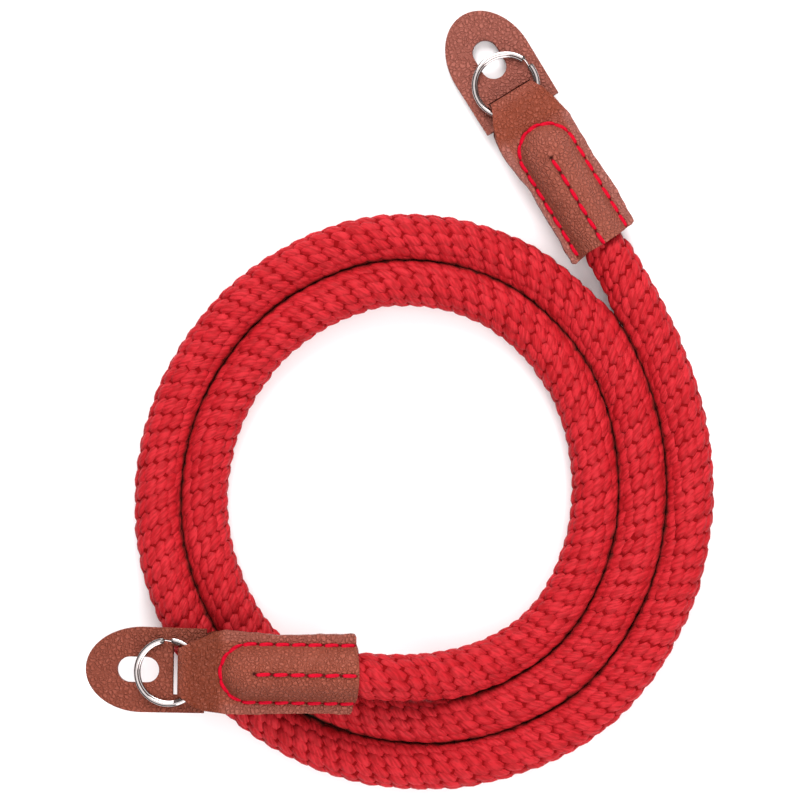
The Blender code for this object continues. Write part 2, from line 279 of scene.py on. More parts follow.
# Painted shade in the needle's holes and along the seams
LEATHER_NEEDLE_SHADE = (0.030, 0.004, 0.003, 1)
CUT_EDGE_TONES = (0.15, 0.068, 0.068, 1), (0.32, 0.175, 0.190, 1)
YARN_TONES = (0.405, 0.0112, 0.0168, 1), (0.475, 0.0180, 0.0255, 1)
YARN_LINE = (0.20, 0.002, 0.003, 1)
# Painted shade at the strands' ends, where they dip under their neighbours
YARN_END_SHADE = (0.06, 0.002, 0.002, 1)
# Painted shade where turns of the rope meet
YARN_CREVICE_SHADE = (0.016, 0.010, 0.005, 1)
# The core is coloured far darker than the yarn: painted shade in the pits between strands
CORE_SHADE_TONES = (0.160, 0.0025, 0.0035, 1), (0.210, 0.0035, 0.0050, 1)
THREAD_TONES = (0.36, 0.0001, 0.0090, 1), (0.56, 0.0004, 0.0210, 1)
# Painted shade at the stitches' ends, where they sink into the leather
THREAD_SUNK_SHADE = (0.13, 0.001, 0.004, 1)
NICKEL_TONES = (0.345, 0.300, 0.300, 1), (0.52, 0.470, 0.460, 1)
# Painted shade beside the cut ends of the ring's upper turn
NICKEL_CUT_SHADE = (0.07, 0.065, 0.06, 1)
FLOOR_COLOUR = (0.92, 0.90, 0.91, 1)
SKY_NADIR = (0.62, 0.61, 0.60, 1)
SKY_ZENITH = (2.0, 1.98, 1.95, 1)
SKY_BANDS = ((0.04, 0.9), (0.10, 0.12), (0.78, 0.12), (0.96, 1.8))

# The camera, and how wide the picture is at this distance from it
CAMERA_PLACE = (0.00895, -0.0096, 0.805)
PICTURE_DISTANCE = 0.800
PICTURE_WIDTH = 0.18664
SENSOR_WIDTH = 36.0

# Floor, and the least height of what lies on it
FLOOR_SIZE = 6.0
FLOOR_Z = -0.0001
STRAND_FLOOR_GAP = 0.00003
THREAD_FLOOR_GAP = 0.00002


def smooth_step(share):
    share = min(max(share, 0.0), 1.0)
    return share * share * (3.0 - 2.0 * share)


def fade_in(value, start, length):
    """0 up to the start, 1 from this length past it, and smooth between them."""
    return smooth_step((value - start) / length)


def bell(distance, width):
    """1 at no distance, and next to nothing from twice this width on."""
    return math.exp(-((distance / width) ** 2))


def blend(start, end, share):
    return start + (end - start) * share


def deselect():
    bpy.ops.object.select_all(action="DESELECT")


def pick(piece):
    """Selects this object alone and makes it the active one."""
    deselect()
    piece.select_set(True)
    bpy.context.view_layer.objects.active = piece


def add_object(name, data):
    made = bpy.data.objects.new(name, data)
    bpy.context.scene.collection.objects.link(made)
    return made


def place(piece, matrix, name):
    """Moves a finished mesh to its end of the strap and leaves its object at the origin."""
    piece.data.transform(matrix @ piece.matrix_basis)
    piece.matrix_basis = Matrix.Identity(4)
    piece.data.update()
    piece.name = piece.data.name = name
    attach(piece, "root")


def end_matrix(end):
    mouth, heading, base = ENDS[end]
    return Matrix.Translation((*mouth, base)) @ Matrix.Rotation(heading, 4, "Z")


def guard_tilt(x, y, z):
    """A place on an end, tilted as its guard lies."""
    return Matrix.Translation((x, y, z)) @ Matrix.Rotation(-GUARD_TILT, 4, "Y")


def apply_modifier(piece, name):
    pick(piece)
    bpy.ops.object.modifier_apply(modifier=name)


def face_outward(piece, merge_within=None):
    """Turns the faces of closed shells outward. Doubles are merged first if a distance is given."""
    pick(piece)
    bpy.ops.object.mode_set(mode="EDIT")
    bpy.ops.mesh.select_all(action="SELECT")
    if merge_within is not None:
        bpy.ops.mesh.remove_doubles(threshold=merge_within)
    bpy.ops.mesh.normals_make_consistent(inside=False)
    bpy.ops.object.mode_set(mode="OBJECT")


def draw_line(curve, points, closed=False):
    """A line of straight steps through these points."""
    line = curve.splines.new("POLY")
    line.points.add(len(points) - 1)
    for target, point in zip(line.points, points):
        target.co = (*point, 1.0)
    line.use_cyclic_u = closed
    return line


def tube_faces(rings, sides, first=0):
    """Faces of a closed tube made of rings of corners: first its wall, then its two ends."""
    faces = []
    for ring in range(rings - 1):
        start = first + ring * sides
        for side in range(sides):
            here, beside = start + side, start + (side + 1) % sides
            faces.append((here, here + sides, beside + sides, beside))
    last = first + (rings - 1) * sides
    return [*faces, tuple(range(first, first + sides)), tuple(reversed(range(last, last + sides)))]


def store(mesh, name, values):
    """Keeps one value for each corner of a mesh, which its material reads by this name."""
    made = mesh.attributes.new(name, "FLOAT", "POINT")
    made.data.foreach_set("value", np.asarray(values, np.float32).ravel())


# Camera

camera = add_object("camera", bpy.data.cameras.new("camera"))
camera.location = CAMERA_PLACE
camera.data.sensor_width = SENSOR_WIDTH
camera.data.lens = SENSOR_WIDTH * PICTURE_DISTANCE / PICTURE_WIDTH
camera.data.clip_start = 0.01
camera.data.clip_end = 20.0
bpy.context.scene.camera = camera

# Materials


def add_node(tree, kind, links=(), **values):
    """A node with its properties and input values set, joined from (socket, output) pairs."""
    node = tree.nodes.new(kind)
    for key, value in values.items():
        if hasattr(node, key):
            setattr(node, key, value)
        else:
            node.inputs[key.replace("_", " ")].default_value = value
    for socket, output in links:
        tree.links.new(output, node.inputs[socket])
    return node


def math_node(tree, operation, *terms):
    node = tree.nodes.new("ShaderNodeMath")
    node.operation = operation
    for index, term in enumerate(terms):
        if isinstance(term, (int, float)):
            node.inputs[index].default_value = term
        else:
            tree.links.new(term, node.inputs[index])
    return node.outputs[0]


def colour_surface(tree, shader, colour, *layers):
    """Lays colours over the first one, each as strongly as its share says."""
    for share, over in layers:
        mix = add_node(tree, "ShaderNodeMix", data_type="RGBA")
        for index, value in ((0, share), (6, colour), (7, over)):
            if hasattr(value, "links"):
                tree.links.new(value, mix.inputs[index])
            else:
                mix.inputs[index].default_value = value
        colour = mix.outputs[2]
    tree.links.new(colour, shader.inputs["Base Color"])


def noise_node(tree, vector, scale, detail, roughness=0.5):
    return add_node(
        tree, "ShaderNodeTexNoise", [("Vector", vector)],
        Scale=scale, Detail=detail, Roughness=roughness,
    ).outputs


def smooth_ramp(tree, value, low, high):
    """0 up to the low value, 1 from the high one on, and smooth between them."""
    return add_node(
        tree, "ShaderNodeMapRange", [("Value", value)],
        interpolation_type="SMOOTHSTEP", From_Min=low, From_Max=high,
    ).outputs["Result"]


def stretch(tree, vector, scale):
    return add_node(tree, "ShaderNodeMapping", [("Vector", vector)], Scale=scale).outputs["Vector"]


def stored(tree, name):
    return add_node(tree, "ShaderNodeAttribute", attribute_name=name).outputs["Fac"]


def object_place(tree):
    return tree.nodes.new("ShaderNodeTexCoord").outputs["Object"]


def new_material(name, roughness, metallic=0.0, specular=0.5):
    made = bpy.data.materials.new(name)
    made.use_nodes = True
    shader = made.node_tree.nodes["Principled BSDF"]
    shader.inputs["Roughness"].default_value = roughness
    shader.inputs["Metallic"].default_value = metallic
    shader.inputs["Specular IOR Level"].default_value = specular
    return made, made.node_tree, shader


def raise_bumps(tree, shader, height, depth, strength=1.0):
    bump = add_node(tree, "ShaderNodeBump", [("Height", height)], Strength=strength, Distance=depth)
    tree.links.new(bump.outputs["Normal"], shader.inputs["Normal"])


def pebble_group():
    """Leather grain: rounded pebbles with creases between them and slow blotches, with painted
    shade in the creases and painted highlights (pale flecks) on the pebbles' tops.
    """
    group = bpy.data.node_groups.new("leather_grain", "ShaderNodeTree")
    new_socket = group.interface.new_socket
    new_socket(name="Vector", in_out="INPUT", socket_type="NodeSocketVector")
    pebbles = new_socket(name="Pebbles", in_out="INPUT", socket_type="NodeSocketFloat")
    pebbles.default_value = PEBBLES
    for name in ("Height", "Crease_Shade", "Blotch", "Painted_Glint"):
        new_socket(name=name, in_out="OUTPUT", socket_type="NodeSocketFloat")
    given, out = group.nodes.new("NodeGroupInput"), group.nodes.new("NodeGroupOutput")
    vector = given.outputs["Vector"]
    warp = noise_node(group, vector, 800.0, 3.0)["Color"]
    shift = add_node(group, "ShaderNodeVectorMath", [(0, warp)], operation="SCALE", Scale=0.0011)
    moved = add_node(
        group, "ShaderNodeVectorMath", [(0, vector), (1, shift.outputs[0])], operation="ADD"
    )
    cells = add_node(
        group, "ShaderNodeTexVoronoi",
        [("Vector", moved.outputs[0]), ("Scale", given.outputs["Pebbles"])],
        feature="DISTANCE_TO_EDGE",
    )
    fine = noise_node(group, vector, 3600.0, 3.0, 0.6)["Fac"]
    slow = noise_node(group, vector, 160.0, 3.0, 0.55)["Fac"]
    pebble = smooth_ramp(group, cells.outputs["Distance"], 0.0, 0.26)
    glint = smooth_ramp(group, fine, 0.52, 0.68)
    for name, value in (
        ("Height", math_node(group, "MULTIPLY_ADD", fine, 0.22, pebble)),
        ("Crease_Shade", math_node(group, "SUBTRACT", 1.0, pebble)),
        ("Blotch", slow),
        ("Painted_Glint", math_node(group, "MULTIPLY", glint, pebble)),
    ):
        group.links.new(value, out.inputs[name])
    return group


LEATHER_GRAIN = pebble_group()


def leather_material():
    made, tree, shader = new_material("pebbled_leather", 0.52, specular=0.15)
    grain = add_node(tree, "ShaderNodeGroup", node_tree=LEATHER_GRAIN)
    tree.links.new(object_place(tree), grain.inputs["Vector"])
    neck = stored(tree, "neck_folds")
    strip = add_node(tree, "ShaderNodeAttribute", attribute_name="strip_place").outputs["Vector"]
    folds = noise_node(tree, stretch(tree, strip, (1250.0, 380.0, 1.0)), 1.0, 2.0)["Fac"]
    fold_height = math_node(tree, "MULTIPLY", math_node(tree, "MULTIPLY", folds, neck), 4.5)
    colour_surface(
        tree, shader,
        LEATHER_TONES[0],
        (grain.outputs["Blotch"], LEATHER_TONES[1]),
        (stored(tree, "painted_sheen"), LEATHER_PAINTED_SHEEN),
        (stored(tree, "darker_tone_and_shade"), LEATHER_DARK_TONE_AND_SHADE),
        (math_node(tree, "MULTIPLY", grain.outputs["Crease_Shade"], 0.29), LEATHER_CREASE_SHADE),
        (math_node(tree, "MULTIPLY", grain.outputs["Painted_Glint"], 0.36), LEATHER_PAINTED_GLINT),
        (stored(tree, "needle_shade"), LEATHER_NEEDLE_SHADE),
    )
    smoothed = math_node(tree, "MULTIPLY_ADD", neck, -0.35, 1.0)
    height = math_node(tree, "MULTIPLY_ADD", grain.outputs["Height"], smoothed, fold_height)
    raise_bumps(tree, shader, height, 0.00025)
    return made


def cut_edge_material():
    made, tree, shader = new_material("leather_cut_edge", 0.85)
    fibres = noise_node(tree, object_place(tree), 2600.0, 4.0, 0.65)["Fac"]
    colour_surface(tree, shader, CUT_EDGE_TONES[0], (fibres, CUT_EDGE_TONES[1]))
    raise_bumps(tree, shader, fibres, 0.0001, 0.6)
    return made


def braid_material():
    made, tree, shader = new_material("braided_yarn", 0.55, specular=0.08)
    yarn = add_node(tree, "ShaderNodeUVMap", uv_map="yarn").outputs["UV"]
    fibres = noise_node(tree, stretch(tree, yarn, (13.0, 1.0, 1.0)), 1.0, 2.0)["Fac"]
    line = math_node(tree, "SUBTRACT", 1.0, smooth_ramp(tree, fibres, 0.38, 0.60))
    painted_crevice_shade = stored(tree, "painted_crevice_shade")
    colour_surface(
        tree, shader,
        YARN_TONES[0],
        (stored(tree, "strand_tone"), YARN_TONES[1]),
        (math_node(tree, "MULTIPLY", line, 0.56), YARN_LINE),
        (stored(tree, "strand_end_shade"), YARN_END_SHADE),
        (painted_crevice_shade, YARN_CREVICE_SHADE),
    )
    rough = math_node(tree, "MULTIPLY_ADD", painted_crevice_shade, 0.45, 0.55)
    tree.links.new(rough, shader.inputs["Roughness"])
    raise_bumps(tree, shader, fibres, 0.00028)
    return made


def core_material():
    made, tree, shader = new_material("rope_core", 0.9, specular=0.03)
    fibres = noise_node(tree, object_place(tree), 1800.0, 3.0)["Fac"]
    colour_surface(tree, shader, CORE_SHADE_TONES[0], (fibres, CORE_SHADE_TONES[1]))
    return made


def thread_material():
    made, tree, shader = new_material("red_thread", 0.6, specular=0.07)
    fibres = noise_node(tree, object_place(tree), 3500.0, 3.0)["Fac"]
    sunk_shade = stored(tree, "thread_sunk_shade")
    colour_surface(tree, shader, THREAD_TONES[0], (fibres, THREAD_TONES[1]), (sunk_shade, THREAD_SUNK_SHADE))
    raise_bumps(tree, shader, fibres, 0.0001, 0.4)
    return made


def nickel_material():
    made, tree, shader = new_material("bright_nickel", 0.16, 1.0)
    rubbed = noise_node(tree, object_place(tree), 900.0, 4.0, 0.7)["Fac"]
    cut = stored(tree, "cut_painted_shade")
    colour_surface(tree, shader, NICKEL_TONES[0], (rubbed, NICKEL_TONES[1]), (cut, NICKEL_CUT_SHADE))
    rough = add_node(tree, "ShaderNodeMapRange", [("Value", rubbed)], To_Min=0.02, To_Max=0.10)
    tree.links.new(rough.outputs["Result"], shader.inputs["Roughness"])
    return made


LEATHER_FACE = leather_material()
LEATHER_EDGE = cut_edge_material()
YARN = braid_material()
CORE = core_material()
THREAD = thread_material()
NICKEL = nickel_material()

# Rope


def rope_route():
    """The rope's axis from its end in the lower sleeve to its end in the upper one."""
    def sewn(end):
        mouth, heading, base = ENDS[end]
        along = Vector((math.cos(heading), math.sin(heading), 0.0))
        start = Vector((*mouth, base + SLEEVE_AXIS_HEIGHT))
        return [start + along * reach for reach in (-ROPE_SEWN_LENGTH, -ROPE_SEWN_LENGTH / 2, 0.0)]

    coil = []
    for angle, radius, lift in COIL_ROUTE:
        turn = math.radians(angle)
        coil.append(Vector((
            COIL_CENTRE[0] + radius * math.cos(turn),
            COIL_CENTRE[1] + radius * math.sin(turn),
            ROPE_DIAMETER / 2 + lift,
        )))
    points = sewn("lower") + coil + sewn("upper")[::-1]
    padded = [points[0] * 2 - points[1], *points, points[-1] * 2 - points[-2]]
    read = []
    for before, start, end, after in zip(padded, padded[1:], padded[2:], padded[3:]):
        back, here, ahead = (start - before).length, (end - start).length, (after - end).length
        leave = ((start - before) / back - (end - before) / (back + here)) * here + (end - start)
        arrive = ((after - end) / ahead - (after - start) / (here + ahead)) * here + (end - start)
        for index in range(ROUTE_DIVISIONS):
            t = index / ROUTE_DIVISIONS
            point = (2 * t**3 - 3 * t**2 + 1) * start + (t**3 - 2 * t**2 + t) * leave
            point += (3 * t**2 - 2 * t**3) * end + (t**3 - t**2) * arrive
            point.z = max(point.z, ROPE_DIAMETER / 2)
            read.append(point)
    return np.array([*read, points[-1]])


ROUTE = rope_route()
ROUTE_RUN = np.concatenate([[0.0], np.cumsum(np.linalg.norm(np.diff(ROUTE, axis=0), axis=1))])
ROUTE_END = ROUTE_RUN[-1]
MOUTHS = (ROPE_SEWN_LENGTH, ROUTE_END - ROPE_SEWN_LENGTH)


def rope_frames(run):
    """Axis points, and unit vectors along, right and up, at these distances along the rope."""
    def at(where):
        return np.stack([np.interp(where, ROUTE_RUN, ROUTE[:, axis]) for axis in range(3)], axis=-1)

    along = at(run + ROUTE_STEP) - at(run - ROUTE_STEP)
    along /= np.linalg.norm(along, axis=-1, keepdims=True)
    right = np.cross(along, np.array((0.0, 0.0, 1.0)))
    right /= np.linalg.norm(right, axis=-1, keepdims=True)
    return at(run), along, right, np.cross(right, along)


def rope_girth(run):
    """The rope's thickness as a share of its free one: narrower where the sleeves grip it."""
    outside = np.minimum(run - MOUTHS[0], MOUTHS[1] - run)
    share = np.clip(outside / GRIP_FADE, 0.0, 1.0)
    return blend(ROPE_SEWN_DIAMETER / ROPE_DIAMETER, 1.0, share * share * (3 - 2 * share))


def neighbours():
    """For every step of rope, the nearest places on the turns beside it: direction and distance."""
    runs = np.arange(0.0, ROUTE_END, ROUTE_STEP)
    axis = rope_frames(runs)[0]
    apart = np.linalg.norm(axis[:, None] - axis[None], axis=-1)
    apart[np.abs(runs[:, None] - runs[None]) < NEXT_TURN_RUN] = 1.0
    found = []
    for _ in range(2):
        nearest = apart.argmin(axis=1)
        gap = apart[np.arange(len(runs)), nearest]
        found.append(((axis[nearest] - axis) / gap[:, None], gap))
        apart[np.abs(runs[None] - runs[nearest][:, None]) < NEXT_TURN_RUN] = 1.0
    return found


NEIGHBOURS = neighbours()


def neighbours_at(run):
    """For both neighbours of each place: the way there, its length, and how near, from 0 to 1."""
    step = np.clip(np.round(run / ROUTE_STEP).astype(int), 0, len(NEIGHBOURS[0][1]) - 1)
    for directions, gaps in NEIGHBOURS:
        gap = gaps[step]
        yield directions[step], gap, np.clip((TOUCHING - gap) / TOUCHING_FADE, 0, 1)


def crowding(outward, run):
    """How squarely each place of the rope's surface faces a turn that it touches, from 0 to 1."""
    crush = np.zeros(run.shape)
    for toward, _, close in neighbours_at(run):
        facing = (outward * toward).sum(-1)
        crush = np.maximum(crush, np.clip((facing - FACING_START) / FACING_FADE, 0, 1) * close)
    return crush


def press_together(points, centre, run):
    """Where turns touch, lets them meet on a plane half way. Returns how near to it points lie."""
    nearness = np.zeros(points.shape[:3])
    middle = centre[:, :, None, :]
    for toward, gap, close in neighbours_at(run):
        toward, gap, close = toward[:, :, None, :], gap[:, :, None], close[:, :, None]
        reach = ((points - middle) * toward).sum(-1)
        facing = np.clip(reach / (ROPE_DIAMETER / 2), 0, 1)
        lack = np.clip(gap / 2 / STRAND_TOP - 1 + SWELL_START, 0, SWELL_MOST)
        offset = (points - middle) * (1 + facing**3 * lack * close)[..., None]
        reach = (offset * toward).sum(-1)
        over = np.maximum(reach - gap / 2 - TURN_OVERLAP, 0.0)
        points[:] = middle + offset - toward * over[..., None]
        nearness = np.maximum(nearness, close * reach / (gap / 2))
    return nearness


def crevice_shade(nearness, run):
    """Painted shade between turns: how dark the strands are painted where they near the next turn,
    darkest at the ends of strands and where the turns part.
    """
    wedge = sum(np.exp(-(((run - middle) / WEDGE_LENGTH) ** 2)) for middle in WEDGE_RUNS)[..., None]
    notch = STRAND_STATIONS[None, :, None] ** 2
    shade = nearness - CREVICE_START + NOTCH_REACH * notch + WEDGE_REACH * wedge
    darkest = CREVICE_DARKNESS + (1 - CREVICE_DARKNESS) * np.maximum(notch, wedge)
    return np.clip(shade / CREVICE_FADE, 0, darkest)


def make_core():
    runs = np.arange(0.0, ROUTE_END, 2 * ROUTE_STEP)
    curve = bpy.data.curves.new("rope_core", "CURVE")
    curve.dimensions = "3D"
    curve.bevel_depth = ROPE_CORE_RADIUS
    curve.bevel_resolution = 4
    curve.use_fill_caps = True
    line = draw_line(curve, rope_frames(runs)[0])
    line.points.foreach_set("radius", rope_girth(runs).astype(np.float32))
    core = add_object("rope_core", curve)
    # The core's dark colour is painted shade where it shows in the pits between strands
    curve.materials.append(CORE)
    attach(core, "root")
    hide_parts("rope")
    return core


def make_strands(name, columns):
    """Every strand that shows in these columns of the braid. Each lies on the rope like a grain of
    rice, leans to the right of the axis and dips under its neighbours at both ends."""
    rows = np.arange(BRAID_FIRST_ROW, int(ROUTE_END / BRAID_ROW) + 2)
    column, row = (grid.ravel() for grid in np.meshgrid(columns, rows))
    middle_run = MOUTHS[0] + (row + BRAID_SHIFT * column) * BRAID_ROW
    kept = (middle_run > MOUTHS[0] - STRAND_OVERRUN) & (middle_run < MOUTHS[1] + STRAND_OVERRUN)
    column, middle_run = column[kept], middle_run[kept]
    count = len(column)
    middle_run = middle_run + rng.normal(0, UNEVENNESS["run"], count)
    middle_angle = 2 * math.pi * column / BRAID_COLUMNS + rng.normal(0, UNEVENNESS["angle"], count)
    widths = 1 + rng.normal(0, UNEVENNESS["width"], count)

    stations, around = STRAND_STATIONS, STRAND_AROUND
    half_run = STRAND_REACH * (1 + BRAID_SHIFT) * BRAID_ROW
    half_angle = STRAND_REACH * 2 * math.pi / BRAID_COLUMNS
    bend = stations + STRAND_BEND * np.sin(math.pi * stations)
    turning = 1 + STRAND_BEND * math.pi * np.cos(math.pi * stations)
    lean = np.arctan(turning * half_angle * STRAND_TOP / half_run)[None, :, None]

    run = middle_run[:, None] + half_run * stations
    angle = middle_angle[:, None] + half_angle * bend + BRAID_TWIST * run
    centre, along, right, up = rope_frames(run)
    outward = np.cos(angle)[..., None] * up + np.sin(angle)[..., None] * right
    sideways = -np.sin(angle)[..., None] * up + np.cos(angle)[..., None] * right
    across = np.cos(lean) * sideways - np.sin(lean) * along

    crush = crowding(outward, run)
    outer, half = np.abs(stations), np.where(stations < 0, 0, 1)
    taper = 1 - TAPER[half] * outer ** TAPER_POWER[half]
    dip = outer ** DIP_POWER[half]
    half_width = STRAND_HALF_WIDTH * taper * (widths[:, None] * (1 + CRUSHED_WIDENING * crush))
    half_height = STRAND_HALF_HEIGHT * (1 - STRAND_THINNING * outer**2)
    level = STRAND_TOP - STRAND_HALF_HEIGHT - STRAND_DIP * dip * (1 - CRUSHED_LIFTING * crush)
    level = level + rng.normal(0, UNEVENNESS["level"], count)[:, None]
    girth = rope_girth(run) * blend(1.0, UNDERSIDE_GIRTH, np.clip(-np.cos(angle), 0, 1))
    reach = level[:, :, None] + half_height[None, :, None] * np.sin(around)
    aside = half_width[..., None] * np.cos(around)
    points = (
        centre[:, :, None, :]
        + outward[:, :, None, :] * (reach * girth[..., None])[..., None]
        + across[:, :, None, :] * (aside * girth[..., None])[..., None]
    )
    nearness = press_together(points, centre, run)
    points[..., 2] = np.maximum(points[..., 2], STRAND_FLOOR_GAP)

    rings, sides = len(stations), len(around)
    one = tube_faces(rings, sides)
    faces = [
        tuple(corner + strand * rings * sides for corner in face)
        for strand in range(count)
        for face in one
    ]
    mesh = bpy.data.meshes.new(name)
    mesh.from_pydata(points.reshape(-1, 3).tolist(), [], faces)

    u_round = np.append(around, 2 * math.pi) / (2 * math.pi)
    one_uv = []
    for low, high in zip(stations, stations[1:]):
        for near, far in zip(u_round, u_round[1:]):
            one_uv += [(near, low), (near, high), (far, high), (far, low)]
    for cap, station in zip(one[-2:], (stations[0], stations[-1])):
        one_uv += [(u_round[corner % sides], station) for corner in cap]
    one_uv = [(u + YARN_SLANT * v, v) for u, v in one_uv]
    offsets = rng.uniform(0, YARN_OFFSET, (count, 1, 2))
    layer = mesh.uv_layers.new(name="yarn")
    layer.data.foreach_set("uv", (np.array(one_uv)[None] + offsets).astype(np.float32).ravel())
    # Painted shade, growing towards each strand's ends where it dips under its neighbours
    depth = np.broadcast_to(outer[None, :, None] ** 5, (count, rings, sides))
    store(mesh, "strand_tone", np.repeat(rng.uniform(0, 1, count), rings * sides))
    store(mesh, "strand_end_shade", depth)
    # Painted shade between touching turns, with wider painted wedges at two places
    store(mesh, "painted_crevice_shade", crevice_shade(nearness, run))
    mesh.shade_smooth()
    mesh.materials.append(YARN)
    strands = add_object(name, mesh)
    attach(strands, "root")
    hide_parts("rope")
    return strands


core = make_core()
strands = [
    make_strands("rope_strands_first", np.arange(0, BRAID_COLUMNS, 2)),
    make_strands("rope_strands_second", np.arange(1, BRAID_COLUMNS, 2)),
]

# Sleeves

SEAM_STRAIGHT = SLEEVE_LENGTH - THREAD_LINE
SEAM_RUN = 2 * SEAM_STRAIGHT + math.pi * THREAD_LINE
SIDE_RUN = SIDE_STITCHES * SIDE_PITCH

# The folded strip from one end to the other: upper layer, bend, back of the fold, bend, lower layer
BACK_X = FOLD_X + LEATHER / 2 + FOLD_RADIUS
STRIP_SPANS = [
    -BACK_X,
    FOLD_RADIUS * math.pi / 2,
    UPPER_LAYER_Z - LOWER_LAYER_Z - 2 * FOLD_RADIUS,
    FOLD_RADIUS * math.pi / 2,
    -BACK_X,
]


def seam_point(run):
    """The U-shaped seam from the left side of the mouth round the rope's end: place and heading."""
    if run <= SEAM_STRAIGHT:
        return (-run, THREAD_LINE), math.pi
    if run >= SEAM_RUN - SEAM_STRAIGHT:
        return (run - SEAM_RUN, -THREAD_LINE), 0.0
    turn = (run - SEAM_STRAIGHT) / THREAD_LINE
    point = (-SEAM_STRAIGHT - THREAD_LINE * math.sin(turn), THREAD_LINE * math.cos(turn))
    return point, math.pi + turn


def seam_joints():
    """Where along the U one stitch ends and the next begins: round the bend they are shorter."""
    side = [SIDE_PITCH * index for index in range(SIDE_STITCHES)]
    shares = [index / BEND_STITCHES for index in range(BEND_STITCHES)]
    bend = [blend(SIDE_RUN, SEAM_RUN - SIDE_RUN, share) for share in shares]
    return side + bend + [SEAM_RUN - SIDE_RUN + run for run in side] + [SEAM_RUN]


def seam_part(run):
    """The part of the U that this place is on. The joint of a side and the bend is the bend's."""
    margin = SIDE_RUN * SIDE_SHARE
    return "bend" if margin < run < SEAM_RUN - margin else "side"


def stitch_holes(end):
    """Where the needle went through, along both seams, and how open each hole is."""
    holes = []
    for run in seam_joints()[1:-1]:
        holes.append((*seam_point(run)[0], NEEDLE_OPENING[seam_part(run)]))
    shift, line_y = CENTRE_SEAM_SHIFT[end], CENTRE_SEAM_Y[end]
    for index in range(1, CENTRE_STITCHES):
        holes.append((shift - CENTRE_PITCH * index, line_y, NEEDLE_OPENING["centre"]))
    last_x = shift - CENTRE_SEAM_LENGTH - LAST_HOLE_SHIFT
    return [*holes, (last_x, line_y, NEEDLE_OPENING["last"])]


def tunnel_rise(x, y):
    """Height of a layer's middle above the sleeve's axis: round over the rope, down to the seam."""
    radius = ROPE_SEWN_DIAMETER / 2 + FIT_GAP + LEATHER / 2
    reach = math.hypot(min(0.0, x + SLEEVE_LENGTH - SEAM_HALF), y)
    touch = radius**2 / SEAM_HALF
    if reach <= touch:
        rise = math.sqrt(radius**2 - reach**2)
    else:
        rise = math.sqrt(radius**2 - touch**2) / (SEAM_HALF - touch) * (SEAM_HALF - reach)
    flat = (LEATHER + LAYER_GAP) / 2
    return (rise + flat + math.hypot(rise - flat, VALLEY_ROUNDING)) / 2


def layer_height(x, y, side):
    """Height of the middle of the upper (side 1) or lower (side -1) layer of the folded strip."""
    sewn = SLEEVE_AXIS_HEIGHT + side * tunnel_rise(x, y)
    share = smooth_step((-SLEEVE_LENGTH - x) / (-SLEEVE_LENGTH - LOOP_X))
    return blend(sewn, UPPER_LAYER_Z if side > 0 else LOWER_LAYER_Z, share)


def seam_distance(end, x, y):
    """Distance from the U seam and from the middle seam."""
    round_end = abs(math.hypot(min(0.0, x + SEAM_STRAIGHT), y) - THREAD_LINE)
    start = CENTRE_SEAM_LENGTH - CENTRE_SEAM_SHIFT[end]
    middle = math.hypot(min(0.0, x + start), y - CENTRE_SEAM_Y[end])
    return round_end, middle


def strip_profile(run):
    """The strip seen from the side, this far along it: x, height, and 1 on the upper layer, -1 on
    the lower one or 0 in the fold. The height is final in the fold alone."""
    part = 0
    while part < len(STRIP_SPANS) - 1 and run > STRIP_SPANS[part]:
        run -= STRIP_SPANS[part]
        part += 1
    sine, cosine = math.sin(run / FOLD_RADIUS), math.cos(run / FOLD_RADIUS)
    return (
        (-run, UPPER_LAYER_Z, 1),
        (BACK_X - FOLD_RADIUS * sine, UPPER_LAYER_Z - FOLD_RADIUS * (1 - cosine), 0),
        (BACK_X - FOLD_RADIUS, UPPER_LAYER_Z - FOLD_RADIUS - run, 0),
        (BACK_X - FOLD_RADIUS * cosine, LOWER_LAYER_Z + FOLD_RADIUS * (1 - sine), 0),
        (BACK_X + run, LOWER_LAYER_Z, -1),
    )[part]


def strip_point(end, run, share):
    """A place on the strip's middle, this far along it, from its right edge (-1) to its left (1),
    and the layer that it is on."""
    x, z, side = strip_profile(run)
    places, halves = zip(*(STRIP_LEFT if share > 0 else STRIP_RIGHT)[end])
    half = float(np.interp(x, places, halves))
    pucker = fade_in(x, PUCKER_START_X, PUCKER_FADE) * EDGE_PUCKER
    half += pucker * noise.noise(Vector((x * PUCKER_SCALE[0], share * PUCKER_SCALE[1], 1.0)))
    corner = max(0.0, x + CORNER_ROUNDING)
    half -= CORNER_ROUNDING - math.sqrt(CORNER_ROUNDING**2 - corner**2)
    y = share * half
    reach = MOUTH_BULGE[end] * max(0.0, 1 - (y / SEAM_HALF) ** 2)
    reach += MOUTH_CORNER_REACH[end] * smooth_step(-2 * share - 1)
    x += reach * fade_in(x, -MOUTH_LENGTH, MOUTH_LENGTH)
    if side:
        z = layer_height(x, y, side)
        at = Vector((x * SWELL_SCALE, y * SWELL_SCALE, 3.0 * side))
        z += side * (FLAP_SWELL * abs(noise.noise(at))) * fade_in(abs(share), *SWELL_EDGE)
    return (x, y, z), side


